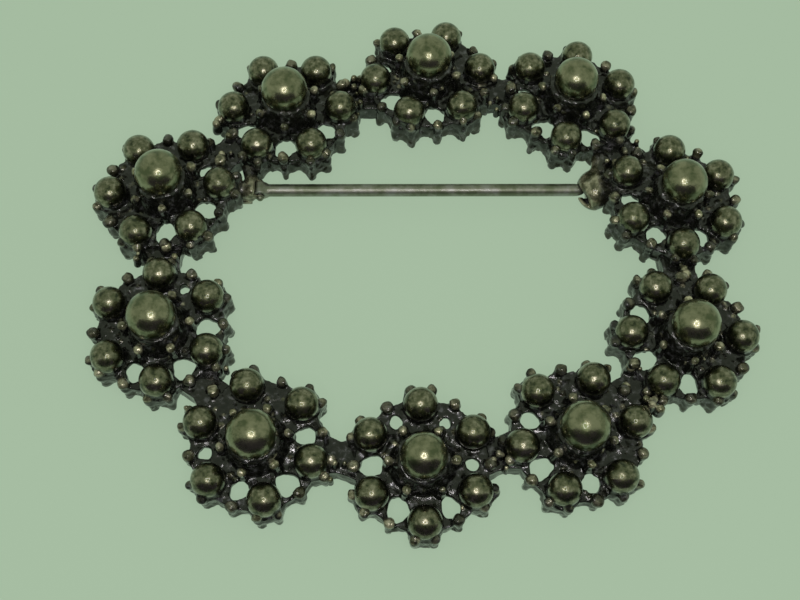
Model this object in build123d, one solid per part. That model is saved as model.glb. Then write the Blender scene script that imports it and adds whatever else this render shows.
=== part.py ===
from build123d import *
import math
import os

# A brooch of ten ball-petalled flowers soldered into an oval wreath, with a straight pin across its back.
# It lies on its back: X runs along the oval, Y across it and Z up out of its face. Sizes are in millimetres.

# One flower. Its own heights are counted from the middles of its petal balls.
petal_count = 6
petal_pitch = 360 / petal_count
petal_radius = 1.25
petal_ring = 4.25
seat_radius = 0.98 * petal_radius
seat_height = 0.25

# The pierced plate under the petals and the thin skirt that hangs from its edge
plate_top = -0.75
plate_thickness = 0.5
waist_radius = 4.85
lobe_margin = 0.1
skirt_wall = 0.45
skirt_bottom = -2.75
arch_rise = 0.7
hole_width = 1.6
hole_stretch = 0.3

# Round posts round the rim: a pair of claws outside each petal and a knob between two petals
claw_knob = 0.36
claw_shaft = 0.78 * claw_knob
claw_ring = petal_ring + petal_radius + 0.2
claw_top = -0.45
claw_half_angle = 7.5
knob_radius = 0.46
knob_shaft = 0.74 * knob_radius
knob_ring = waist_radius - 0.25
knob_top = -0.35
knob_lean = 9

# The boss that lifts the large ball, with a granule on a short post at each of its corners
ball_radius = 1.82
ball_rise = 2.08
boss_top_radius = 0.88 * ball_radius
boss_top = ball_rise - math.sqrt(ball_radius**2 - boss_top_radius**2)
boss_ring = 0.15
boss_shoulder_radius = 1.95
boss_shoulder = boss_top - 0.25
boss_base_radius = 2.42
granule_radius = 0.38
granule_shaft = 0.68 * granule_radius
granule_ring = boss_base_radius - 0.17
granule_height = boss_top - 0.15
granule_lean = 7

# The wreath. Neighbouring flowers stand about one pitch apart and lean outwards.
flower_pitch = 2 * claw_ring + claw_knob
flower_lean = 6.8
lean = math.radians(flower_lean)
solder_gap = 0.04
bridge_width = 1.7
bridge_depth = 1.0
bridge_drop = 0.2
bridge_granule = 0.3

# Each flower's middle, in pitches from the wreath's middle, and the turn of its first petal in degrees
#    right    up   turn
flowers = [
    (-0.90, 1.16, 58),
    (0.06, 1.43, 8),
    (1.04, 1.25, 19),
    (1.68, 0.46, 31),
    (1.65, -0.54, 0),
    (0.92, -1.20, 13),
    (-0.04, -1.38, 31),
    (-1.05, -1.24, 39),
    (-1.68, -0.47, 31),
    (-1.69, 0.53, 2),
]
catch_flower = 3
hinge_flower = 9

# The pin and the fittings that hold it. The pin crosses the wreath above its middle.
stem_radius = 0.5
stem_offset = 0.6 * flower_pitch
stem_height = 0.67 * skirt_bottom
point_length = 1.0
point_radius = 0.1
eye_radius = 1.2 * stem_radius
eye_width = 2 * stem_radius
rivet_radius = 0.28
rivet_head = 0.12
rivet_clearance = 0.04
side_clearance = 0.05
housing_wall = 0.28
catch_radius = 1.5
catch_wall = 0.35
catch_length = 1.5
catch_mouth = stem_radius + 0.25
catch_rounding = 1.25 * catch_radius
foot_width = 1.5
foot_length = 2.0
foot_thickness = 0.4
foot_gap = 0.2

upwards = (Align.CENTER, Align.CENTER, Align.MIN)


def around(first):
    """Turns that set a copy at each petal's place, counted from angle `first`."""
    return [Rot(Z=first + petal_pitch * copy) for copy in range(petal_count)]


def lobed_outline(inset):
    """The flower's plan: a round waist and a lobe round each petal, all drawn in by `inset`."""
    outline = Circle(waist_radius - inset)
    lobe = Circle(petal_radius + lobe_margin - inset)
    for turn in around(0):
        outline += turn * Pos(petal_ring, 0) * lobe
    return outline


def arch_cuts():
    """Round cuts that arch the skirt's foot between one post and the next."""
    narrow = claw_ring * math.sin(math.radians(claw_half_angle)) - claw_shaft
    apart = math.radians(petal_pitch / 2 - claw_half_angle)
    spacing = math.sqrt(claw_ring**2 + knob_ring**2 - 2 * claw_ring * knob_ring * math.cos(apart))
    wide = (spacing - claw_shaft - knob_shaft) / 2
    wide_angle = (petal_pitch / 2 + claw_half_angle) / 2
    cuts = []
    for radius, angle in [(narrow, 0), (wide, wide_angle), (wide, -wide_angle)]:
        arch = Rot(Y=90) * Cylinder(radius, 2 * petal_radius)
        arch = Pos(claw_ring, 0, skirt_bottom + arch_rise - radius) * arch
        cuts += [turn * arch for turn in around(angle)]
    return cuts


def skirt():
    """The plate, pierced between the petals, and the skirt below it."""
    height = plate_top - skirt_bottom
    body = Pos(0, 0, skirt_bottom) * extrude(lobed_outline(0), height)
    hollow = Pos(0, 0, skirt_bottom) * extrude(lobed_outline(skirt_wall), height - plate_thickness)
    hole_middle = waist_radius - skirt_wall - (hole_width + hole_stretch) / 2
    hole = Pos(hole_middle, 0, skirt_bottom) * extrude(SlotCenterToCenter(hole_stretch, hole_width), height)
    holes = [turn * hole for turn in around(petal_pitch / 2)]
    return body - ([hollow] + holes + arch_cuts())


def post(ball, shaft, length):
    """A round post with a ball for its top, hung from the ball's middle, and a blunt foot."""
    neck = math.sqrt(ball**2 - shaft**2)
    top = ThreePointArc((0, ball), (ball, 0), (shaft, -neck))
    side = Polyline((shaft, -neck), (shaft, shaft - length), (shaft / 3, -length), (0, -length), (0, ball))
    return revolve(Plane.XZ * make_face(top + side), Axis.Z)


def rim_posts():
    """The claws outside the petals and the knobs between them, each down to the skirt's foot."""
    claw = Pos(claw_ring, 0, claw_top) * post(claw_knob, claw_shaft, claw_top - skirt_bottom)
    knob = Rot(Y=-knob_lean) * post(knob_radius, knob_shaft, knob_top - skirt_bottom)
    knob = Pos(knob_ring, 0, knob_top) * knob
    claws = [turn * claw for angle in (claw_half_angle, -claw_half_angle) for turn in around(angle)]
    return claws + [turn * knob for turn in around(petal_pitch / 2)]


def boss():
    """The boss with its collar ring, its granules and the large ball that it lifts."""
    base = plate_top - plate_thickness / 2
    lower = Cone(boss_base_radius, boss_shoulder_radius, boss_shoulder - base, align=upwards)
    lower = Pos(0, 0, base) * lower
    upper = Cone(boss_shoulder_radius, boss_top_radius, boss_top - boss_shoulder, align=upwards)
    upper = Pos(0, 0, boss_shoulder) * upper
    ring = Pos(0, 0, boss_top) * Torus(boss_top_radius, boss_ring)
    ball = Pos(0, 0, ball_rise) * Sphere(ball_radius)
    granule = Rot(Y=-granule_lean) * post(granule_radius, granule_shaft, granule_height - plate_top)
    granule = Pos(granule_ring, 0, granule_height) * granule
    return [lower, upper, ring, ball] + [turn * granule for turn in around(petal_pitch / 2)]


def petals():
    """The petal balls, each in a low round seat on the plate."""
    seat = Cylinder(seat_radius, seat_height + plate_thickness / 2, align=upwards)
    seat = Pos(petal_ring, 0, plate_top - plate_thickness / 2) * seat
    ball = Pos(petal_ring, 0, 0) * Sphere(petal_radius)
    return [turn * piece for piece in (seat, ball) for turn in around(0)]


def middle(row):
    """The middle of a flower in the wreath's plane. Rows run on past the last to the first."""
    right, up, turn = flowers[row % len(flowers)]
    return Vector(right * flower_pitch, up * flower_pitch, 0)


def place(row):
    """Where a flower sits: its middle, its lean straight out from the oval, and its turn."""
    oval_length = max(right for right, up, turn in flowers)
    oval_width = max(up for right, up, turn in flowers)
    outwards = Vector(middle(row).X / oval_length**2, middle(row).Y / oval_width**2, 0).normalized()
    face = Vector(0, 0, 1) * math.cos(lean) + outwards * math.sin(lean)
    side = Vector(0, 1, 0).cross(face)
    return Plane(origin=middle(row), x_dir=side, z_dir=face).location * Rot(Z=flowers[row][2])


def wreath_flower(row, casting):
    """One flower in its place, filed flat where it meets its neighbours and bridged to them with solder."""
    fillings = []
    filed = []
    start = waist_radius - skirt_wall
    bridge_top = plate_top - bridge_drop
    for side, neighbour in [(1, row + 1), (-1, row - 1)]:
        step = middle(neighbour) - middle(row)
        reach = (step.length - solder_gap) / 2
        towards = Plane(origin=middle(row), x_dir=step.normalized(), z_dir=(0, 0, 1))
        bridge = Box(petal_ring, bridge_width, bridge_depth, align=(Align.MIN, Align.CENTER, Align.MAX))
        granule_place = Pos(reach - 1.3 * bridge_granule, side * bridge_width / 4, bridge_top)
        beyond = Pos(2 * petal_ring, 0, 0) * Box(4 * petal_ring, 4 * petal_ring, 4 * petal_ring)
        fillings += [towards * Pos(start, 0, bridge_top) * bridge]
        fillings += [towards * granule_place * Sphere(bridge_granule)]
        filed += [towards * Pos(reach, 0, 0) * beyond]
    return place(row) * casting + fillings - filed


# The fittings stand against the skirts of the flowers that they are soldered to, and reach under them.
skirt_reach = (claw_ring + claw_shaft) * math.cos(lean) - skirt_bottom * math.sin(lean)
foot_top = skirt_bottom * math.cos(lean) + knob_ring * math.sin(lean) - foot_gap
housing_left = middle(hinge_flower).X + skirt_reach + solder_gap
catch_right = middle(catch_flower).X - skirt_reach - solder_gap

# The rivet's middle, with the plane's own X along the pin and its own Y up out of the brooch's face
rivet_x = housing_left + housing_wall + side_clearance + eye_radius
rivet = Plane(origin=(rivet_x, stem_offset, stem_height), x_dir=(1, 0, 0), z_dir=(0, -1, 0))
slot_width = eye_width + 2 * side_clearance
housing_width = slot_width + 2 * housing_wall


def foot(start, way):
    """A flat tongue under a flower's skirt that ties a fitting to it."""
    tongue = Box(foot_length, foot_width, foot_thickness, align=(Align.CENTER, Align.CENTER, Align.MAX))
    return Pos(start + way * foot_length / 2, stem_offset, foot_top) * tongue


def joint_housing():
    """A folded housing: a wall against the claws, a roof over the eye and an ear on each side of it."""
    inside = eye_radius + side_clearance
    outside = inside + housing_wall
    wall_foot = foot_top - foot_thickness - stem_height
    ears = Circle(eye_radius) + Pos(0, outside / 2) * Rectangle(2 * eye_radius, outside)
    ears += Pos(-outside / 2, (outside + wall_foot) / 2) * Rectangle(outside, outside - wall_foot)
    block = rivet * extrude(ears, housing_width / 2, both=True)
    slot = Box(inside + outside, inside - wall_foot, slot_width, align=(Align.MIN, Align.MAX, Align.CENTER))
    slot = rivet * Pos(-inside, inside, 0) * slot
    bore = rivet * Cylinder(rivet_radius, 2 * housing_width)
    return block - slot - bore + foot(housing_left + housing_wall, -1)


def joint_rivet():
    """The rivet through both ears, with a low head on each side."""
    shank = Cylinder(rivet_radius, housing_width)
    head = Cylinder(1.5 * rivet_radius, rivet_head)
    head_place = (housing_width + rivet_head) / 2
    return rivet * (shank + Pos(0, 0, head_place) * head + Pos(0, 0, -head_place) * head)


def pin_stem():
    """The straight pin: an eye round the rivet, a round wire and a short point."""
    wire_length = catch_right - catch_wall - 2 * side_clearance - point_length - rivet_x
    wire = Rot(Y=90) * Cylinder(stem_radius, wire_length, align=upwards)
    point = Pos(wire_length, 0, 0) * Rot(Y=90) * Cone(stem_radius, point_radius, point_length, align=upwards)
    bore = Cylinder(rivet_radius + rivet_clearance, 2 * eye_width)
    return rivet * (Cylinder(eye_radius, eye_width) + wire + point - bore)


def catch():
    """A plain catch: a short barrel, open to the back and to the front below the pin, on an end wall."""
    open_length = catch_length - catch_wall
    along = Plane(
        origin=(catch_right - catch_length, stem_offset, stem_height), x_dir=(0, 1, 0), z_dir=(1, 0, 0)
    )
    barrel = extrude(Circle(catch_radius) - Circle(catch_radius - catch_wall), open_length)
    end_wall = Pos(0, 0, open_length) * extrude(Circle(catch_radius), catch_wall)
    mouth = Box(2 * catch_mouth, catch_radius, open_length, align=(Align.CENTER, Align.MAX, Align.MIN))
    window = Box(catch_radius, catch_radius, open_length, align=(Align.MAX, Align.MIN, Align.MIN))
    rounding = Pos(catch_right, stem_offset, stem_height) * Cylinder(catch_rounding, 4 * catch_radius)
    return (along * (barrel + end_wall - mouth - window) & rounding) + foot(catch_right - catch_wall, 1)


casting = skirt() + rim_posts() + boss() + petals()
pieces = {f"flower_{row + 1:02d}": wreath_flower(row, casting) for row in range(len(flowers))}
pieces["joint_housing"] = joint_housing()
pieces["joint_rivet"] = joint_rivet()
pieces["pin_stem"] = pin_stem()
pieces["catch"] = catch()

# The origin is the middle of the base on which the brooch rests.
box = Compound(list(pieces.values())).bounding_box()
to_origin = Pos(-box.center().X, -box.center().Y, -box.min.Z)
os.makedirs("parts", exist_ok=True)
for name, piece in pieces.items():
    export_step(to_origin * piece, f"parts/{name}.step")
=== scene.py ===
import bpy
import math
import numpy as np
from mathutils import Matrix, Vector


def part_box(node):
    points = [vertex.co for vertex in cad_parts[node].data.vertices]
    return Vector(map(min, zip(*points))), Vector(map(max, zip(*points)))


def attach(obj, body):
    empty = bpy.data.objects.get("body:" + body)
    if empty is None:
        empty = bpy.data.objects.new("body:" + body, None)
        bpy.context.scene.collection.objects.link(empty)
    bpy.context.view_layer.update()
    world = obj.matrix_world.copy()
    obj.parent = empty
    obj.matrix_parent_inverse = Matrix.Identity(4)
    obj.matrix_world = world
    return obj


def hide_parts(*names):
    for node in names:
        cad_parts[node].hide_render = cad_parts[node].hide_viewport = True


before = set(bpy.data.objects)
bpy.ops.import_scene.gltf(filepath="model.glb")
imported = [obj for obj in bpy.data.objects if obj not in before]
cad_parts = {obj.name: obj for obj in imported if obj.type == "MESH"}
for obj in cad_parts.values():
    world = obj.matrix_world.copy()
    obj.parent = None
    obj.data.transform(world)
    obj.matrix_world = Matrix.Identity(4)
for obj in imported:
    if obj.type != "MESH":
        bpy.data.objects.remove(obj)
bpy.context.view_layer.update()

import openvdb
from mathutils import Matrix, Vector


# The flower castings.
# Each flower is one silver casting: a plate pierced between the petals, a thin skirt with an arched foot,
# posts with blunt heads on the rim, and a boss with six granules. It is blackened, and its heads are rubbed.
mm = 0.001
petal_count = 6
petal_step = math.tau / petal_count
petal_ring = 4.25 * mm
lobe_radius = 1.35 * mm
seat_radius = 1.2 * mm
seat_top = 0.05 * mm
seat_sink = 0.1 * mm
seat_rounding = 0.12 * mm
plate_top = -0.75 * mm
plate_thickness = 0.5 * mm
waist_radius = 4.85 * mm
skirt_wall = 0.45 * mm
skirt_bottom = -2.75 * mm
arch_rise = 0.5 * mm
arch_start, arch_end = 3.9 * mm, 7 * mm
arch_unevenness = 0.05 * mm
arches = {-0.33: 0.9 * mm, 0: 0.36 * mm, 0.33: 0.9 * mm}
hole_ring = 3.6 * mm
hole_radius = 0.78 * mm
hole_stretch = 1.09
hole_shift = 0.06 * mm
hole_reach = 2 * mm
hole_bend, hole_twist = 0.06, 0.05
claw_ring = 5.46 * mm
claw_angle = math.radians(7.5)
claw_top = -0.5 * mm
claw_head = 0.38 * mm
claw_shaft = 0.34 * mm
claw_foot = 0.28 * mm
knob_ring = 4.85 * mm
knob_foot_ring = 5.0 * mm
knob_top = -0.4 * mm
knob_head = 0.47 * mm
knob_shaft = 0.38 * mm
knob_foot = 0.28 * mm
boss_base_radius = 2.35 * mm
boss_shoulder_radius = 1.85 * mm
boss_top_radius = 1.62 * mm
boss_top = 1.2 * mm
collar_thickness = 0.16 * mm
granule_ring = 2.42 * mm
granule_foot_ring = 2.5 * mm
granule_top = 0.65 * mm
granule_head = 0.36 * mm
granule_shaft = 0.75 * granule_head
head_height = 0.85
head_widths = (0.85, 1.05)
head_roundness = (0.75, 1.0)
post_shift = (0.1 * mm, 0.1 * mm, 0.18 * mm)
splash_count = 40
splash_rings = (1.7, 4.6)
splash_radii = (0.08, 0.2)
fillet = 0.22 * mm
shaft_fillet = 0.2 * mm
head_fillet = 0.08 * mm
splash_fillet = 0.12 * mm
rim_rub = (0.1, 0.6)
granule_rub = (0.4, 1.0)
splash_rub = (0, 0.8)
skirt_rub = 0.05
rub_fade = 0.08 * mm
skirt_fade = 0.8 * mm
coarse_waves = (0.3 * mm, 0.05 * mm)
fine_waves = (0.14 * mm, 0.03 * mm)


class Casting:
    """A block of small cells that hold the distance to a casting's surface.

    It starts empty. Shapes are melted in or cut away.
    """

    empty = 3 * mm
    surface_layer = 0.3 * mm

    def __init__(self, low, high, cell=0.1 * mm):
        self.low = np.array(low)
        self.cell = cell
        steps = [np.arange(start, stop, cell) for start, stop in zip(low, high)]
        self.x, self.y, self.z = np.meshgrid(*steps, indexing="ij", sparse=True)
        self.field = np.full([len(step) for step in steps], self.empty)

    def window(self, middle, reach):
        """The cells within a reach of a middle, or all of them when there is no middle."""
        if middle is None:
            return (slice(None),) * 3
        near = []
        for place, start in zip(middle, self.low):
            first = max(int((place - reach - start) / self.cell), 0)
            last = max(int((place + reach - start) / self.cell) + 2, 0)
            near.append(slice(first, last))
        return tuple(near)

    def holds(self, place):
        """Whether there is metal at a place."""
        return self.field[tuple(((place - self.low) / self.cell).round().astype(int))] < 0

    def melt(self, shape, middle=None, reach=None, soft=fillet):
        """Adds a shape, with a soft fillet where it meets what is there."""
        near = self.window(middle, reach)
        gap = shape(self.x[near[0]], self.y[:, near[1]], self.z[:, :, near[2]])
        old = self.field[near]
        share = np.clip(0.5 + 0.5 * (old - gap) / soft, 0, 1)
        self.field[near] = old * (1 - share) + gap * share - soft * share * (1 - share)

    def cut(self, shape, middle=None, reach=None, soft=0.12 * mm):
        """Takes a shape away and leaves its edge slightly rounded."""
        near = self.window(middle, reach)
        gap = shape(self.x[near[0]], self.y[:, near[1]], self.z[:, :, near[2]])
        old = self.field[near]
        share = np.clip(0.5 - 0.5 * (old + gap) / soft, 0, 1)
        self.field[near] = old * (1 - share) - gap * share + soft * share * (1 - share)

    def roughen(self, luck, size, depth, waves=18):
        """Gives the surface a hand-made casting's slight unevenness, as many small waves that cross."""
        near = np.nonzero(np.abs(self.field) < self.surface_layer)
        places = np.stack([axis.ravel()[index] for axis, index in zip((self.x, self.y, self.z), near)])
        ways = luck.normal(size=(waves, 3)) / size
        starts = luck.uniform(0, math.tau, (waves, 1))
        self.field[near] += depth * np.sin(ways @ places + starts).sum(axis=0) / math.sqrt(waves)

    def skin(self, share):
        """The points and faces of the surface. A share of the faces is kept, most where it bends most."""
        grid = openvdb.FloatGrid(1.0)
        grid.copyFromArray((self.field / mm).astype(np.float32))
        points, triangles, quads = grid.convertToPolygons(isovalue=0.0, adaptivity=0.0)
        mesh = bpy.data.meshes.new("skin")
        mesh.from_pydata((points * self.cell / mm).tolist(), [], triangles.tolist() + quads.tolist())
        piece = bpy.data.objects.new("skin", mesh)
        bpy.context.scene.collection.objects.link(piece)
        piece.modifiers.new("fewer", "DECIMATE").ratio = share
        done = bpy.data.meshes.new_from_object(piece.evaluated_get(bpy.context.evaluated_depsgraph_get()))
        bpy.data.objects.remove(piece)
        points = np.empty(3 * len(done.vertices))
        done.vertices.foreach_get("co", points)
        return points.reshape(-1, 3) * mm + self.low, [tuple(face.vertices) for face in done.polygons]


def rod(top, foot, top_radius, foot_radius):
    """A round rod that tapers from its top to its foot, with its middle and its reach."""
    way = np.subtract(foot, top)

    def distance(x, y, z):
        apart = (x - top[0], y - top[1], z - top[2])
        along = np.clip(sum(side * step for side, step in zip(apart, way)) / way.dot(way), 0, 1)
        gap = sum((side - along * step) ** 2 for side, step in zip(apart, way))
        return np.sqrt(gap) - (top_radius + (foot_radius - top_radius) * along)

    reach = np.linalg.norm(way) / 2 + max(top_radius, foot_radius) + 2 * fillet
    return distance, np.add(top, foot) / 2, reach


def head(centre, radius, height, roundness):
    """A blunt round head with its middle and its reach.

    It is a ball when its height and its roundness are its radius, and blunter with less of them.
    """

    def distance(x, y, z):
        out = np.hypot(x - centre[0], y - centre[1]) - (radius - roundness)
        rise = np.abs(z - centre[2]) - (height - roundness)
        outside = np.hypot(np.maximum(out, 0), np.maximum(rise, 0))
        return outside + np.minimum(np.maximum(out, rise), 0) - roundness

    return distance, centre, radius + 2 * fillet


def on_ring(ring, angle, height):
    """A place on a ring round the flower's middle."""
    return np.array([ring * math.cos(angle), ring * math.sin(angle), height])


def plan(x, y, inset):
    """How far a place lies outside the flower's plan when the plan is drawn in by an inset."""
    outline = np.hypot(x, y) - (waist_radius - inset)
    for petal in range(petal_count):
        lobe = on_ring(petal_ring, petal * petal_step, 0)
        outline = np.minimum(outline, np.hypot(x - lobe[0], y - lobe[1]) - (lobe_radius - inset))
    return outline


def plate_and_skirt(block, openings, luck):
    """The pierced plate with the skirt that hangs from it and the low seats of the petals on it.

    Each of the six openings is the share of the full hole that solder and flash have left open.
    """
    middle, half = (plate_top + skirt_bottom) / 2, (plate_top - skirt_bottom) / 2
    block.melt(lambda x, y, z: np.maximum(plan(x, y, 0), np.abs(z - middle) - half))
    block.cut(lambda x, y, z: np.maximum(plan(x, y, skirt_wall), z - (plate_top - plate_thickness)))
    for petal in range(petal_count):
        angle = petal * petal_step
        seat = on_ring(petal_ring, angle, (seat_top + plate_top) / 2)
        block.melt(*head(seat, seat_radius, (seat_top - plate_top) / 2 + seat_sink, seat_rounding))
        for arch_angle, arch_radius in arches.items():
            height = skirt_bottom + arch_rise - arch_radius + luck.normal(0, arch_unevenness)
            inner, outer = (on_ring(ring, angle + arch_angle, height) for ring in (arch_start, arch_end))
            block.cut(*rod(inner, outer, arch_radius, arch_radius))
    for corner, opening in enumerate(openings):
        outwards = on_ring(1, (corner + 0.5) * petal_step, 0)
        middle_x, middle_y, _ = hole_ring * outwards + luck.normal(0, hole_shift, 3)
        radius = hole_radius * opening
        bend, twist = luck.uniform(0, math.tau, 2)
        if not opening:
            continue

        def hole(x, y, z):
            x, y = x - middle_x, y - middle_y
            out = (x * outwards[0] + y * outwards[1]) / hole_stretch
            across = (y * outwards[0] - x * outwards[1]) * hole_stretch
            turn = np.arctan2(across, out)
            uneven = hole_bend * np.sin(3 * turn + bend) + hole_twist * np.sin(2 * turn + twist)
            return np.hypot(out, across) - radius * (1 + uneven) + 0 * z

        block.cut(hole, (middle_x, middle_y, plate_top), hole_reach)


def boss(block):
    """The boss that carries the large ball, with a thin collar round its top."""
    base = plate_top - plate_thickness / 2
    slope = (boss_base_radius - boss_shoulder_radius) / (boss_top - base)

    def cone(x, y, z):
        side = (np.hypot(x, y) - boss_base_radius + (z - base) * slope) / math.hypot(1, slope)
        return np.maximum(np.maximum(side, z - boss_top), base - z)

    block.melt(cone)
    block.melt(lambda x, y, z: np.hypot(np.hypot(x, y) - boss_top_radius, z - boss_top) - collar_thickness)


def posts(luck):
    """The claws, knobs and granules of one flower, no two quite alike.

    Each is its top, its foot, the radii of its head, shaft and foot, and the roundness of its head.
    """
    made = []
    for petal in range(petal_count):
        for angle in (petal * petal_step - claw_angle, petal * petal_step + claw_angle):
            foot = on_ring(claw_ring, angle, skirt_bottom + claw_foot)
            made.append((on_ring(claw_ring, angle, claw_top), foot, claw_head, claw_shaft, claw_foot))
        angle = (petal + 0.5) * petal_step
        foot = on_ring(knob_foot_ring, angle, skirt_bottom + knob_foot)
        made.append((on_ring(knob_ring, angle, knob_top), foot, knob_head, knob_shaft, knob_foot))
        top, foot = on_ring(granule_ring, angle, granule_top), on_ring(granule_foot_ring, angle, plate_top)
        made.append((top, foot, granule_head, granule_shaft, granule_head))
    uneven = []
    for top, foot, wide, shaft, end in made:
        top = top + luck.uniform(-1, 1, 3) * post_shift
        wide = wide * luck.uniform(*head_widths)
        uneven.append((top, foot, wide, shaft, end, luck.uniform(*head_roundness)))
    return uneven


def splashes(luck):
    """Small drops of solder on the plate and the boss, each with its place and radius."""
    boss_fall = 2.2
    drops = []
    for _ in range(splash_count):
        ring, angle = luck.uniform(*splash_rings) * mm, luck.uniform(0, math.tau)
        on_boss = ring < boss_base_radius
        height = boss_top - (ring - boss_top_radius) * boss_fall if on_boss else plate_top
        drops.append((on_ring(ring, angle, max(height, plate_top)), luck.uniform(*splash_radii) * mm))
    return drops


def head_share(points, heads):
    """How far each point is rubbed bright, from the heads' places, radii and shares."""
    rubbed = np.zeros(len(points))
    for place, radius, share in heads:
        gap = np.linalg.norm(points - place, axis=1) - radius
        height = np.clip((points[:, 2] - place[2]) / radius + 0.5, 0, 1)
        rubbed = np.maximum(rubbed, share * np.clip(1 - gap / rub_fade, 0, 1) * height)
    return rubbed


def flower_casting(openings, luck):
    """The points, the faces and the rubbed share of each point of one flower."""
    room, room_below, into_metal = 0.8 * mm, 0.4 * mm, 0.2 * mm
    reach = claw_ring + room
    block = Casting((-reach, -reach, skirt_bottom - room_below), (reach, reach, boss_top + room))
    plate_and_skirt(block, openings, luck)
    boss(block)
    heads = []
    for top, foot, wide, shaft, end, roundness in posts(luck):
        block.melt(*rod(top, foot, shaft, end), soft=shaft_fillet)
        block.melt(*head(top, wide, head_height * wide, head_height * wide * roundness), soft=head_fillet)
        on_rim = top[2] < 0
        heads.append((top, wide, luck.uniform(*(rim_rub if on_rim else granule_rub))))
    for place, radius in splashes(luck):
        if block.holds(place - (0, 0, into_metal)):
            block.melt(*head(place, radius, radius, radius), soft=splash_fillet)
            heads.append((place, radius, luck.uniform(*splash_rub)))
    block.roughen(luck, *coarse_waves)
    block.roughen(luck, *fine_waves)
    block.cut(lambda x, y, z: z - skirt_bottom + 0 * x + 0 * y, soft=0.05 * mm)
    points, faces = block.skin(0.5)
    skirt_share = skirt_rub * np.clip((plate_top - plate_thickness - points[:, 2]) / skirt_fade, 0, 1)
    return points, faces, np.maximum(skirt_share, head_share(points, heads))


# Each flower's middle, in pitches from the wreath's middle, the turn of its first petal in degrees, the size
# of its large ball, as a share of the largest one, and how far each of its six holes is open.
flower_pitch = 11.76 * mm
flower_lean = math.radians(6.8)
oval_length, oval_width = 1.68, 1.43
wreath_middle = Vector((0.2377, -0.2221, 3.416)) * mm
#    right    up   turn  ball  openings
flowers = [
    (-0.90, 1.16, 58, 1.0, (0, 0, 1.0, 1.15, 1.0, 0)),
    (0.06, 1.43, 8, 1.0, (0, 0, 0.65, 1.15, 1.1, 0)),
    (1.04, 1.25, 19, 0.95, (0, 0, 0.75, 1.15, 1.05, 0)),
    (1.68, 0.46, 31, 0.97, (0, 0, 0.9, 1.0, 0.9, 0)),
    (1.65, -0.54, 0, 1.0, (0, 0, 0.95, 1.1, 0.95, 0)),
    (0.92, -1.20, 13, 1.0, (0, 0, 0.9, 1.1, 0.9, 0)),
    (-0.04, -1.38, 31, 0.93, (0.55, 0.6, 1.0, 1.1, 0.95, 0.55)),
    (-1.05, -1.24, 39, 1.0, (0, 0, 0.6, 0.9, 1.1, 0.95)),
    (-1.68, -0.47, 31, 1.0, (0.5, 0, 0, 0.9, 1.05, 1.05)),
    (-1.69, 0.53, 2, 1.0, (0.6, 0, 0, 0, 1.1, 1.0)),
]


def flower_place(right, up, turn):
    """Where a flower sits: its middle, its lean straight out from the oval, and its turn."""
    middle = Vector((right, up, 0)) * flower_pitch
    outwards = Vector((middle.x / oval_length**2, middle.y / oval_width**2, 0)).normalized()
    face = Vector((0, 0, math.cos(flower_lean))) + outwards * math.sin(flower_lean)
    side = Vector((0, 1, 0)).cross(face).normalized()
    leaned = Matrix((side, face.cross(side), face)).transposed().to_4x4()
    turned = Matrix.Rotation(math.radians(turn), 4, "Z")
    return Matrix.Translation(middle + wreath_middle) @ leaned @ turned


def new_material(name, roughness, metallic=1.0):
    """A plain material with its node tree and its shader."""
    made = bpy.data.materials.new(name)
    made.use_nodes = True
    shader = made.node_tree.nodes["Principled BSDF"]
    shader.inputs["Metallic"].default_value = metallic
    shader.inputs["Roughness"].default_value = roughness
    return made, made.node_tree, shader


def blotches(tree, size, detail=4.0):
    """Uneven blotches of about one size that stay with the metal, from 0 to 1."""
    place = tree.nodes.new("ShaderNodeTexCoord")
    noise = tree.nodes.new("ShaderNodeTexNoise")
    noise.inputs["Scale"].default_value = 1 / size
    noise.inputs["Detail"].default_value = detail
    noise.inputs["Roughness"].default_value = 0.6
    tree.links.new(place.outputs["Object"], noise.inputs["Vector"])
    return noise.outputs["Fac"]


def shades(tree, value, stops):
    """Colours along a value. Each stop is a place and a colour."""
    made = tree.nodes.new("ShaderNodeValToRGB")
    while len(made.color_ramp.elements) < len(stops):
        made.color_ramp.elements.new(0.5)
    for element, (place, colour) in zip(made.color_ramp.elements, stops):
        element.position = place
        element.color = (*colour, 1)
    tree.links.new(value, made.inputs["Fac"])
    return made.outputs["Color"]


def blend(tree, share, first, second):
    """The first colour, with a share of the second one mixed in."""
    made = tree.nodes.new("ShaderNodeMix")
    made.data_type = "RGBA"
    tree.links.new(share, made.inputs["Factor"])
    tree.links.new(first, made.inputs["A"])
    tree.links.new(second, made.inputs["B"])
    return made.outputs["Result"]


def pitted(tree, shader, height, depth):
    """Turns a value into a fine relief of the surface."""
    bump = tree.nodes.new("ShaderNodeBump")
    bump.inputs["Distance"].default_value = depth
    bump.inputs["Strength"].default_value = 1.0
    tree.links.new(height, bump.inputs["Height"])
    tree.links.new(bump.outputs["Normal"], shader.inputs["Normal"])


soot_size = 0.5 * mm
worn_size = 0.6 * mm
pit_size, pit_depth = 0.3 * mm, 0.035 * mm
rubbed_smoother = -0.05
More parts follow.
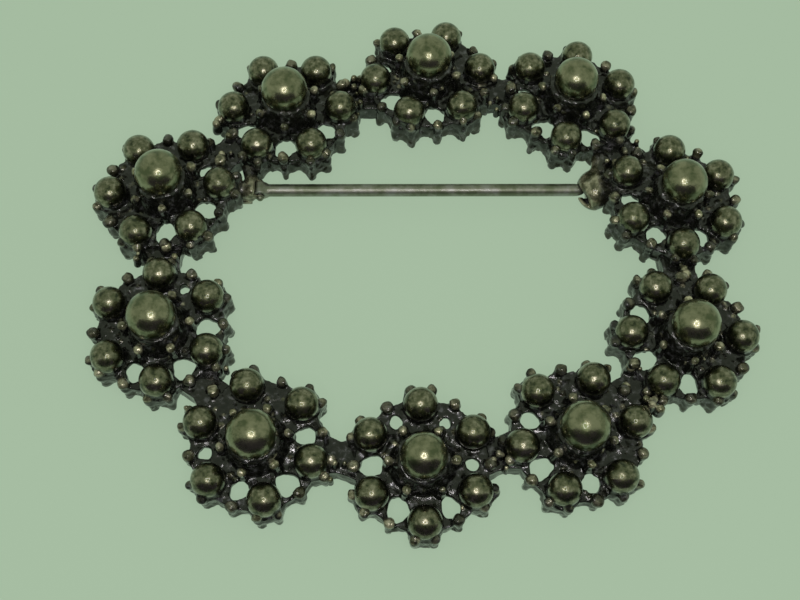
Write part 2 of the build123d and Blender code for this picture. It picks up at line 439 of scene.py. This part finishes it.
#    place  colour
soot_stops = [
    (0.38, (0.011, 0.0115, 0.009)),
    (0.48, (0.018, 0.018, 0.015)),
    (0.56, (0.031, 0.03, 0.029)),
    (0.66, (0.13, 0.125, 0.14)),
]
worn_stops = [
    (0.35, (0.08, 0.083, 0.04)),
    (0.48, (0.27, 0.255, 0.15)),
    (0.58, (0.72, 0.66, 0.47)),
]
roughness_stops = [
    (0.4, (0.17, 0.17, 0.17)),
    (0.6, (0.3, 0.3, 0.3)),
]
blackened, tree, shader = new_material("blackened_silver", 0.3, metallic=0.55)
soot = shades(tree, blotches(tree, soot_size, 6.0), soot_stops)
worn = shades(tree, blotches(tree, worn_size), worn_stops)
rubbed_value = tree.nodes.new("ShaderNodeAttribute")
rubbed_value.attribute_name = "rubbed"
tree.links.new(blend(tree, rubbed_value.outputs["Fac"], soot, worn), shader.inputs["Base Color"])
polish = tree.nodes.new("ShaderNodeMath")
polish.operation = "MULTIPLY_ADD"
polish.inputs[1].default_value = rubbed_smoother
tree.links.new(rubbed_value.outputs["Fac"], polish.inputs[0])
tree.links.new(shades(tree, blotches(tree, soot_size), roughness_stops), polish.inputs[2])
tree.links.new(polish.outputs["Value"], shader.inputs["Roughness"])
shader.inputs["Specular Tint"].default_value = (0.25, 0.25, 0.25, 1)
shader.inputs["Coat Weight"].default_value = 0.75
shader.inputs["Coat Roughness"].default_value = 0.05
pitted(tree, shader, blotches(tree, pit_size, 2.0), pit_depth)


def add_piece(name, points, faces, materials, rubbed=None, body="wreath"):
    """One object from points and faces, in one or two materials, that moves with a body."""
    mesh = bpy.data.meshes.new(name)
    mesh.from_pydata(points.tolist(), [], faces)
    for material in materials:
        mesh.materials.append(material)
    mesh.polygons.foreach_set("use_smooth", [True] * len(faces))
    if rubbed is not None:
        mesh.attributes.new("rubbed", "FLOAT", "POINT").data.foreach_set("value", rubbed)
    piece = bpy.data.objects.new(name, mesh)
    bpy.context.scene.collection.objects.link(piece)
    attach(piece, body)
    return piece


for row, (right, up, turn, _, openings) in enumerate(flowers):
    points, faces, rubbed = flower_casting(openings, np.random.default_rng(row + 1))
    place = np.array(flower_place(right, up, turn))
    points = points @ place[:3, :3].T + place[:3, 3]
    piece = add_piece(f"flower_{row + 1:02d}_casting", points, faces, [blackened], rubbed)
    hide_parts(f"flower_{row + 1:02d}")


# The balls of the flowers.
# Six small solid balls are soldered in the seats as petals and a large one on the boss. They are silver too,
# rubbed bright at first and tarnished since to a mottled greenish brown.
petal_radius = 1.25 * mm
large_radius = 1.82 * mm
large_rise = 2.08 * mm
dent_size, dent_depth = 0.5 * mm, 0.02 * mm


def ball(centre, radius, around=44, rings=22):
    """The points and faces of a smooth ball."""
    turns = np.arange(around) * math.tau / around
    heights = np.arange(1, rings)[:, None] * math.pi / rings
    upright = np.broadcast_to(np.cos(heights), (rings - 1, around))
    sides = np.stack([np.sin(heights) * np.cos(turns), np.sin(heights) * np.sin(turns), upright], axis=-1)
    points = np.concatenate([[[0, 0, 1]], sides.reshape(-1, 3), [[0, 0, -1]]]) * radius + centre
    last = len(points) - 1
    faces = []
    for k in range(around):
        step = (k + 1) % around
        faces += [(0, 1 + k, 1 + step), (last, last - around + step, last - around + k)]
        for start in range(1, last - around, around):
            faces.append((start + k, start + around + k, start + around + step, start + step))
    return points, faces


def tarnished_silver(name, stain_size, stops, gloss, dull):
    """Silver under a mottled greenish tarnish. Its dark stains are duller than the light ones."""
    made, tree, shader = new_material(name, gloss)
    stains = blotches(tree, stain_size, 5.0)
    tree.links.new(shades(tree, stains, stops), shader.inputs["Base Color"])
    dull_stops = [(0.4, (dull, dull, dull)), (0.55, (gloss, gloss, gloss))]
    tree.links.new(shades(tree, stains, dull_stops), shader.inputs["Roughness"])
    shader.inputs["Coat Weight"].default_value = 0.6
    shader.inputs["Coat Roughness"].default_value = 0.07
    pitted(tree, shader, blotches(tree, dent_size, 3.0), dent_depth)
    return made


#    place  colour
petal_stops = [
    (0.36, (0.032, 0.04, 0.017)),
    (0.44, (0.107, 0.115, 0.06)),
    (0.53, (0.165, 0.16, 0.1)),
    (0.64, (0.31, 0.29, 0.21)),
]
large_stops = [
    (0.38, (0.1, 0.118, 0.056)),
    (0.47, (0.183, 0.187, 0.108)),
    (0.6, (0.29, 0.28, 0.18)),
]
petal_silver = tarnished_silver("tarnished_petals", 0.4 * mm, petal_stops, gloss=0.25, dull=0.38)
large_silver = tarnished_silver("tarnished_large_balls", 0.8 * mm, large_stops, gloss=0.24, dull=0.31)

for row, (right, up, turn, ball_share, _) in enumerate(flowers):
    places = [(on_ring(petal_ring, k * petal_step, 0), petal_radius) for k in range(petal_count)]
    places.append(((0, 0, large_rise), large_radius * ball_share))
    points, faces = [], []
    for centre, radius in places:
        more_points, more_faces = ball(centre, radius)
        count = sum(len(each) for each in points)
        faces += [tuple(index + count for index in face) for face in more_faces]
        points.append(more_points)
    place = np.array(flower_place(right, up, turn))
    points = np.concatenate(points) @ place[:3, :3].T + place[:3, 3]
    piece = add_piece(f"flower_{row + 1:02d}_balls", points, faces, [petal_silver, large_silver])
    large_faces = len(faces) // (petal_count + 1)
    which = [0] * (len(faces) - large_faces) + [1] * large_faces
    piece.data.polygons.foreach_set("material_index", which)
    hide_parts(f"flower_{row + 1:02d}")


# The solder that joins neighbouring flowers.
# Silver solder fills the seam between two flowers with a web, and small grains of it were set on top to hide
# the seam. Each grain's place is counted from the middle of its seam, in millimetres.
web_length = 1.5 * mm
web_width = 1.2 * mm
web_flare = 0.25
web_top = -0.95 * mm
web_bottom = -2.45 * mm
web_room, web_room_below, web_room_above = 3.2 * mm, 0.4 * mm, 0.6 * mm
solder_waves = (0.25 * mm, 0.025 * mm)
grain_height = -0.45 * mm
grain_foot = 1.2
grain_rub = (0.5, 1.0)
#    seam  right    up  radius
grains = [
    (1, -1.0, 0.9, 0.36),
    (1, -0.3, 1.4, 0.26),
    (1, -0.3, 0.6, 0.24),
    (1, -0.1, 0.0, 0.16),
    (1, 0.2, -0.9, 0.22),
    (1, 0.0, -2.0, 0.16),
    (2, 0.9, 0.3, 0.26),
    (2, -1.3, -0.5, 0.22),
    (2, -1.2, -0.8, 0.2),
    (2, -0.2, -1.0, 0.16),
    (2, -0.8, -1.5, 0.16),
    (2, -0.3, -2.1, 0.2),
    (2, 0.2, -2.1, 0.18),
    (3, 0.0, 0.5, 0.2),
    (3, 0.1, -0.1, 0.19),
    (3, 0.2, -0.4, 0.2),
    (3, 1.2, 0.6, 0.2),
    (3, 1.2, -0.3, 0.3),
    (3, -1.3, -1.2, 0.2),
    (4, 0.2, -0.3, 0.3),
    (4, 0.3, -0.8, 0.38),
    (4, 0.0, 0.1, 0.13),
    (5, -0.1, 1.4, 0.37),
    (5, -0.6, -0.2, 0.37),
    (5, 0.8, -1.1, 0.26),
    (5, 1.4, -1.2, 0.27),
    (5, 1.8, -1.9, 0.33),
    (5, 1.2, -1.6, 0.28),
    (5, 1.6, -0.8, 0.13),
    (5, 0.6, 1.3, 0.18),
    (6, -0.6, -0.8, 0.25),
    (6, -0.2, -0.3, 0.25),
    (6, 0.3, -1.4, 0.16),
    (6, 0.1, -0.4, 0.15),
    (7, -0.3, -0.7, 0.22),
    (7, 0.4, -0.7, 0.16),
    (7, 1.0, -0.9, 0.22),
    (7, -0.6, -1.9, 0.2),
    (7, 1.7, 0.4, 0.17),
    (8, -1.2, 0.3, 0.28),
    (8, 0.6, -0.3, 0.27),
    (8, 0.3, -0.3, 0.25),
    (8, -1.3, -1.8, 0.2),
    (8, 1.4, 1.3, 0.2),
    (9, 0.3, 0.9, 0.4),
    (9, 1.0, 0.1, 0.24),
    (9, -1.8, 0.4, 0.15),
    (9, -1.9, -0.1, 0.25),
    (10, -0.9, 2.3, 0.33),
    (10, 0.1, 1.2, 0.3),
    (10, -0.4, -0.5, 0.3),
    (10, 0.3, -0.3, 0.15),
]

for row, (right, up, *_) in enumerate(flowers):
    next_right, next_up, *_ = flowers[(row + 1) % len(flowers)]
    seam = np.array([right + next_right, up + next_up, 0]) * flower_pitch / 2
    along = np.array([next_right - right, next_up - up]) / math.hypot(next_right - right, next_up - up)
    luck = np.random.default_rng(20 + row)
    block_low = (-web_room, -web_room, web_bottom - web_room_below)
    block = Casting(block_low, (web_room, web_room, web_room_above))

    def web(x, y, z):
        """A web between two flowers, a little wider towards each of them."""
        run = np.abs(x * along[0] + y * along[1])
        width = np.abs(y * along[0] - x * along[1]) - web_width - web_flare * run
        rise = np.abs(z - (web_top + web_bottom) / 2) - (web_top - web_bottom) / 2
        return np.maximum(np.maximum(run - web_length, width), rise)

    block.melt(web)
    heads = []
    for grain_seam, grain_right, grain_up, radius in grains:
        if grain_seam == row + 1:
            top = np.array([grain_right, grain_up, grain_height / mm + radius / 2]) * mm
            foot = top + (0, 0, web_top - top[2] - radius * mm)
            block.melt(*rod(top, foot, radius * mm, grain_foot * radius * mm))
            heads.append((top, radius * mm, luck.uniform(*grain_rub)))
    block.roughen(luck, *solder_waves)
    points, faces = block.skin(0.6)
    rubbed = head_share(points, heads)
    points = points + seam + np.array(wreath_middle)
    add_piece(f"solder_{row + 1:02d}", points, faces, [blackened], rubbed)


# The pin.
# It is straight drawn steel wire with a satin surface. Its left end is forged to an eye, which turns on a
# rivet, and its right end is filed to a short rounded point.
patch_size = 1.2 * mm
scratch_size, scratch_depth = 0.12 * mm, 0.012 * mm
#    place  colour
steel_stops = [
    (0.38, (0.16, 0.175, 0.115)),
    (0.5, (0.26, 0.26, 0.215)),
    (0.62, (0.34, 0.335, 0.32)),
]
steel, tree, shader = new_material("satin_steel", 0.48)
tree.links.new(shades(tree, blotches(tree, patch_size), steel_stops), shader.inputs["Base Color"])
shader.inputs["Coat Weight"].default_value = 0.7
shader.inputs["Coat Roughness"].default_value = 0.13
pitted(tree, shader, blotches(tree, scratch_size, 3.0), scratch_depth)
fitting_cell = 0.06 * mm
edge_room = 0.2 * mm
stem_radius = 0.5 * mm
point_length = 1.0 * mm
point_curve = 2.5
blunt_end = 0.04
eye_radius = 1.2 * stem_radius
rivet_radius = 0.28 * mm
rivet_clearance = 0.04 * mm
pin_low, pin_high = (np.array(corner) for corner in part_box("pin_stem"))
stem_y, stem_z = (pin_low[1] + pin_high[1]) / 2, (pin_low[2] + pin_high[2]) / 2
rivet_x = pin_low[0] + eye_radius
block = Casting(pin_low - edge_room, pin_high + edge_room, fitting_cell)


def drawn_wire(x, y, z):
    """The wire from the eye to its filed point."""
    past = np.clip((x - pin_high[0]) / point_length + 1, 0, 1)
    radius = stem_radius * np.sqrt(1 - (1 - blunt_end) * past**point_curve)
    side = np.hypot(y - stem_y, z - stem_z) - radius
    return np.maximum(np.maximum(side, rivet_x - x), x - pin_high[0])


def forged_eye(x, y, z):
    """The round eye, as thick as the wire."""
    return np.maximum(np.hypot(x - rivet_x, z - stem_z) - eye_radius, np.abs(y - stem_y) - stem_radius)


def rivet_bore(x, y, z):
    """The bore through the eye, with room to turn on the rivet."""
    return np.hypot(x - rivet_x, z - stem_z) - rivet_radius - rivet_clearance + 0 * y


block.melt(drawn_wire, soft=0.02 * mm)
block.melt(forged_eye, soft=0.2 * mm)
block.cut(rivet_bore, soft=0.04 * mm)
points, faces = block.skin(0.4)
piece = add_piece("pin_stem_drawn", points, faces, [steel], body="pin")
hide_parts("pin_stem")


# The pin's housing with its rivet.
# A strip of silver is folded over the pin's eye and soldered to the flowers behind it. Its two ears hold a
# rivet, whose ends are hammered flush.
rivet_cell = 0.04 * mm
rivet_low, rivet_high = (np.array(corner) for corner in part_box("joint_rivet"))
rivet_reach = rivet_high[1] - stem_y - rivet_radius
rivet_ends = [(rivet_x, stem_y + side * rivet_reach, stem_z) for side in (-1, 1)]
block = Casting(rivet_low - edge_room, rivet_high + edge_room, rivet_cell)
block.melt(rod(*rivet_ends, rivet_radius, rivet_radius)[0], soft=0.02 * mm)
points, faces = block.skin(0.5)
piece = add_piece("joint_rivet_hammered", points, faces, [steel])
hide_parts("joint_rivet")

neck_flare = 1.2
neck_fillet = 0.4 * mm


def bar(low, high, rounding=0.1 * mm):
    """A bar between two corners with rounded edges."""
    middle, half = np.add(low, high) / 2, np.subtract(high, low) / 2 - rounding

    def distance(x, y, z):
        out = [np.abs(side - place) - reach for side, place, reach in zip((x, y, z), middle, half)]
        inside = np.minimum(np.maximum(np.maximum(*out[:2]), out[2]), 0)
        return np.sqrt(sum(np.maximum(side, 0) ** 2 for side in out)) + inside - rounding

    return distance


def add_fitting(name, block, rubbed_share):
    """Adds a rolled fitting. The share is a function that gives how far each point is rubbed."""
    points, faces = block.skin(0.5)
    piece = add_piece(f"{name}_rolled", points, faces, [blackened], rubbed_share(points))
    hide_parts(name)


def solder_neck(block, start, end, radius):
    """A neck of solder from a fitting to a flower's skirt. Its ends and radius are in millimetres."""
    ends = np.array([start, end]) * mm
    block.melt(*rod(*ends, radius * mm, neck_flare * radius * mm), soft=neck_fillet)


fitting_soft = 0.12 * mm
overcut = 1 * mm
tongue_width = 1.5 * mm
tongue_thickness = 0.4 * mm
tongue_length = 2.0 * mm
tongue_in_fold = 0.3 * mm
fold_over_tongue = 0.28 * mm
fold_back = 0.1 * mm
fold_rise = 0.2 * mm
fold_rounding = 0.42 * mm
eye_clearance = 0.05 * mm
slot_half_width = 0.55 * mm
ear_radius = 0.38 * mm
ear_reach = 0.76 * mm
ear_rounding = 0.2 * mm
least_rub, fold_rub = 0.05, 0.4
#    start             end               radius
housing_necks = [
    ((-13.1, 7.6, 1.8), (-13.3, 8.8, 1.9), 0.5),
    ((-13.5, 6.8, 1.6), (-14.4, 6.9, 1.6), 0.65),
]
housing_low, housing_high = (np.array(corner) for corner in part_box("joint_housing"))
roof_end = rivet_x - 0.33 * mm
housing_left = housing_low[0] + tongue_length - fold_over_tongue
block_low, block_high = housing_low - 0.4 * mm, housing_high + (0.4 * mm, 1.8 * mm, 0.4 * mm)
block = Casting(block_low, block_high, fitting_cell)
fold_low = (housing_left - fold_back, stem_y - ear_reach, housing_low[2] + fold_rise)
block.melt(bar(fold_low, (roof_end, *housing_high[1:]), fold_rounding), soft=fitting_soft)


def ears(x, y, z):
    """A rounded drum along the rivet, of which the slot leaves an ear on each side of the pin."""
    out = np.maximum(np.hypot(x - rivet_x, z - stem_z) - ear_radius + ear_rounding, 0)
    side = np.maximum(np.abs(y - stem_y) - ear_reach + ear_rounding, 0)
    return np.hypot(out, side) - ear_rounding


block.melt(ears, soft=0.3 * mm)
tongue_low = (housing_low[0], stem_y - tongue_width / 2, housing_low[2])
tongue_high = (housing_left + tongue_in_fold, stem_y + tongue_width / 2, housing_low[2] + tongue_thickness)
block.melt(bar(tongue_low, tongue_high), soft=fitting_soft)
for start, end, radius in housing_necks:
    solder_neck(block, start, end, radius)
slot_low = (rivet_x - eye_radius - eye_clearance, stem_y - slot_half_width, housing_low[2] - overcut)
slot_high = (housing_high[0] + overcut, stem_y + slot_half_width, stem_z + eye_radius + eye_clearance)
block.cut(bar(slot_low, slot_high), soft=0.05 * mm)
front_low, front_high = (roof_end, *slot_low[1:]), slot_high + np.array([0, 0, 2 * overcut])
block.cut(bar(front_low, front_high), soft=0.1 * mm)
block.cut(lambda x, y, z: np.hypot(x - rivet_x, z - stem_z) - rivet_radius + 0 * y, soft=0.03 * mm)


def fold_share(points):
    """The fold is rubbed towards the pin, and the solder behind it is black."""
    towards_pin = np.clip((points[:, 0] - housing_left) / (0.6 * mm) + 1, 0, 1)
    off_solder = np.clip((housing_high[1] + 0.2 * mm - points[:, 1]) / (0.3 * mm), 0, 1)
    return least_rub + fold_rub * towards_pin * off_solder


add_fitting("joint_housing", block, fold_share)


# The catch.
# It is a small round bowl of silver with a cut for the point: open to the back and along its front, and
# under a roof that runs out on a slant over the pin. Solder ties it to the flowers behind it.
catch_low, catch_high = (np.array(corner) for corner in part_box("catch"))
bowl_radius = 1.5 * mm
bowl_wall = 0.35 * mm
bowl_taper = 0.35
bowl_rub = 0.5
bowl_middle = catch_high[0] - 1.3 * mm
open_end = bowl_middle - 0.1 * mm
mouth_half_width = 0.57 * mm
mouth_end = pin_high[0] + 0.15 * mm
bowl_floor = stem_z - 0.28 * mm
bowl_stretch = 1.12
roof_slope = 1.6
roof_reach = 0.9 * mm
window_drop = 0.1 * mm
passage_radius = 1.2 * stem_radius
block_low, block_high = catch_low - 0.5 * mm, catch_high + (0.4 * mm, 1.6 * mm, 0.4 * mm)
block = Casting(block_low, block_high, fitting_cell)


def bowl_distance(x, y, z):
    """The distance from the bowl's middle, or from the line on which it runs on to the flower."""
    across = (y - stem_y) / bowl_stretch
    return np.sqrt(np.minimum(x - bowl_middle, 0) ** 2 + across**2 + (z - stem_z) ** 2)


def bowl(x, y, z):
    """The whole bowl, narrower towards the flower."""
    narrower = bowl_taper * np.maximum(x - bowl_middle, 0)
    return np.maximum(bowl_distance(x, y, z) - bowl_radius + narrower, x - catch_high[0])


def hollow(x, y, z):
    """The inside of the bowl, down to its floor."""
    inside = np.maximum(bowl_distance(x, y, z) - bowl_radius + bowl_wall, x - open_end)
    return np.maximum(inside, bowl_floor - z)


def window(x, y, z):
    """The opening along the front above the pin. The roof runs out on a slant over the point."""
    slant = (y - stem_y + roof_reach + roof_slope * (x - pin_high[0])) / math.hypot(1, roof_slope)
    return np.maximum(np.maximum(slant, stem_z - window_drop - z), x - open_end)


block.melt(bowl)
solder_neck(block, (14.4, 7.6, 1.9), (14.6, 9.2, 2.0), 0.65)
block.cut(hollow, soft=0.08 * mm)
mouth_low = (catch_low[0] - overcut, stem_y - mouth_half_width, catch_low[2] - overcut)
block.cut(bar(mouth_low, (mouth_end, stem_y + mouth_half_width, stem_z), 0.05 * mm), soft=0.05 * mm)
block.cut(window, soft=0.08 * mm)
passage_start, passage_end = (catch_low[0] - overcut, stem_y, stem_z), (pin_high[0], stem_y, stem_z)
block.cut(rod(passage_start, passage_end, passage_radius, passage_radius)[0], soft=0.05 * mm)


def outside_share(points):
    """The bowl is rubbed on its outside and black inside and towards the flower."""
    inside = bowl_distance(*points.T) < bowl_radius - 0.6 * bowl_wall
    outside = np.clip((bowl_middle + 0.4 * mm - points[:, 0]) / mm, least_rub, bowl_rub)
    return np.where(inside & (points[:, 0] < open_end + 0.1 * mm), 0, outside)


add_fitting("catch", block, outside_share)


# The floor and the light.
# A pale green pad glows a little, and the room is evenly pale. A dark card in front glows faintly
# violet-grey and is seen only in reflections, as a painted reflection in the lower halves of the balls. The
# pad and the card are matt.
pad_size, pad_middle = 1.2, (0, 0.3, 0)
card_front, card_depth = -0.0285, 0.06
card_back = card_front - card_depth
card_foot, card_rise = 0.0002, 0.085
near_half, far_half = 0.05, 0.12


def glowing_material(name, colour, glow, roughness=0.5, specular=0.5):
    """A material that gives a faint even light of its own."""
    made, _, shader = new_material(name, roughness, metallic=0)
    shader.inputs["Base Color"].default_value = (*colour, 1)
    shader.inputs["Specular IOR Level"].default_value = specular
    shader.inputs["Emission Color"].default_value = (*glow, 1)
    shader.inputs["Emission Strength"].default_value = 1.0
    return made


pad_material = glowing_material("pale_pad", (0.08, 0.1, 0.08), (0.322, 0.43, 0.307), roughness=0.9)
bpy.ops.mesh.primitive_plane_add(size=pad_size, location=pad_middle)
floor = bpy.context.active_object
floor.name = "floor"
floor.data.materials.append(pad_material)

world = bpy.data.worlds.new("room")
bpy.context.scene.world = world
world.use_nodes = True
background = world.node_tree.nodes["Background"]
background.inputs["Color"].default_value = (0.42, 0.49, 0.37, 1)
background.inputs["Strength"].default_value = 1.0

# Painted reflection: the card's faint glow shows only in the balls. The camera, diffuse light and shadows
# never see it.
card_material = glowing_material("dark_card", (0, 0, 0), (0.044, 0.04, 0.053), specular=0)
card_mesh = bpy.data.meshes.new("dark_card")
corners = [(-near_half, card_front, card_foot), (near_half, card_front, card_foot)]
corners += [(far_half, card_back, card_rise), (-far_half, card_back, card_rise)]
card_mesh.from_pydata(corners, [], [(0, 1, 2, 3)])
card_mesh.materials.append(card_material)
card = bpy.data.objects.new("dark_card", card_mesh)
bpy.context.scene.collection.objects.link(card)
card.visible_camera = False
card.visible_diffuse = False
card.visible_shadow = False


# The camera and its lamps.
# The camera stands where the photograph was taken from, by the fit to the balls' places. A ring of small
# round lamps round its lens puts the bright glow on the balls.
camera_data = bpy.data.cameras.new("camera")
camera_data.lens = 65.15
camera_data.sensor_width = 36
camera_data.clip_start = 0.005
camera = bpy.data.objects.new("camera", camera_data)
bpy.context.scene.collection.objects.link(camera)
azimuth, elevation, roll = math.radians(-4.02), math.radians(64.07), math.radians(3.41)
distance = 107.93 * mm
target = Vector((-1.873, -3.46, 0)) * mm + wreath_middle
level, rise = math.cos(elevation), math.sin(elevation)
back = Vector((math.sin(azimuth) * level, -math.cos(azimuth) * level, rise))
right = Vector((math.cos(azimuth), math.sin(azimuth), 0))
up = back.cross(right)
turned_right = math.cos(roll) * right + math.sin(roll) * up
turned_up = -math.sin(roll) * right + math.cos(roll) * up
facing = Matrix((turned_right, turned_up, back)).transposed().to_4x4()
camera.matrix_world = Matrix.Translation(target + back * distance) @ facing
bpy.context.scene.camera = camera

lamp_ring = 20 * mm
lamp_size = 5.5 * mm
lamp_power = 0.0026
lamp_count = 12
for number in range(lamp_count):
    lamp_data = bpy.data.lights.new(f"lamp_{number}", "AREA")
    lamp_data.shape = "DISK"
    lamp_data.size = lamp_size
    lamp_data.energy = lamp_power
    lamp_data.color = (1, 0.95, 0.97)
    lamp = bpy.data.objects.new(f"lamp_{number}", lamp_data)
    turn = number * math.tau / lamp_count
    place = Matrix.Translation((lamp_ring * math.cos(turn), lamp_ring * math.sin(turn), 0))
    lamp.matrix_world = camera.matrix_world @ place
    bpy.context.scene.collection.objects.link(lamp)

bpy.context.scene.view_settings.view_transform = "Standard"
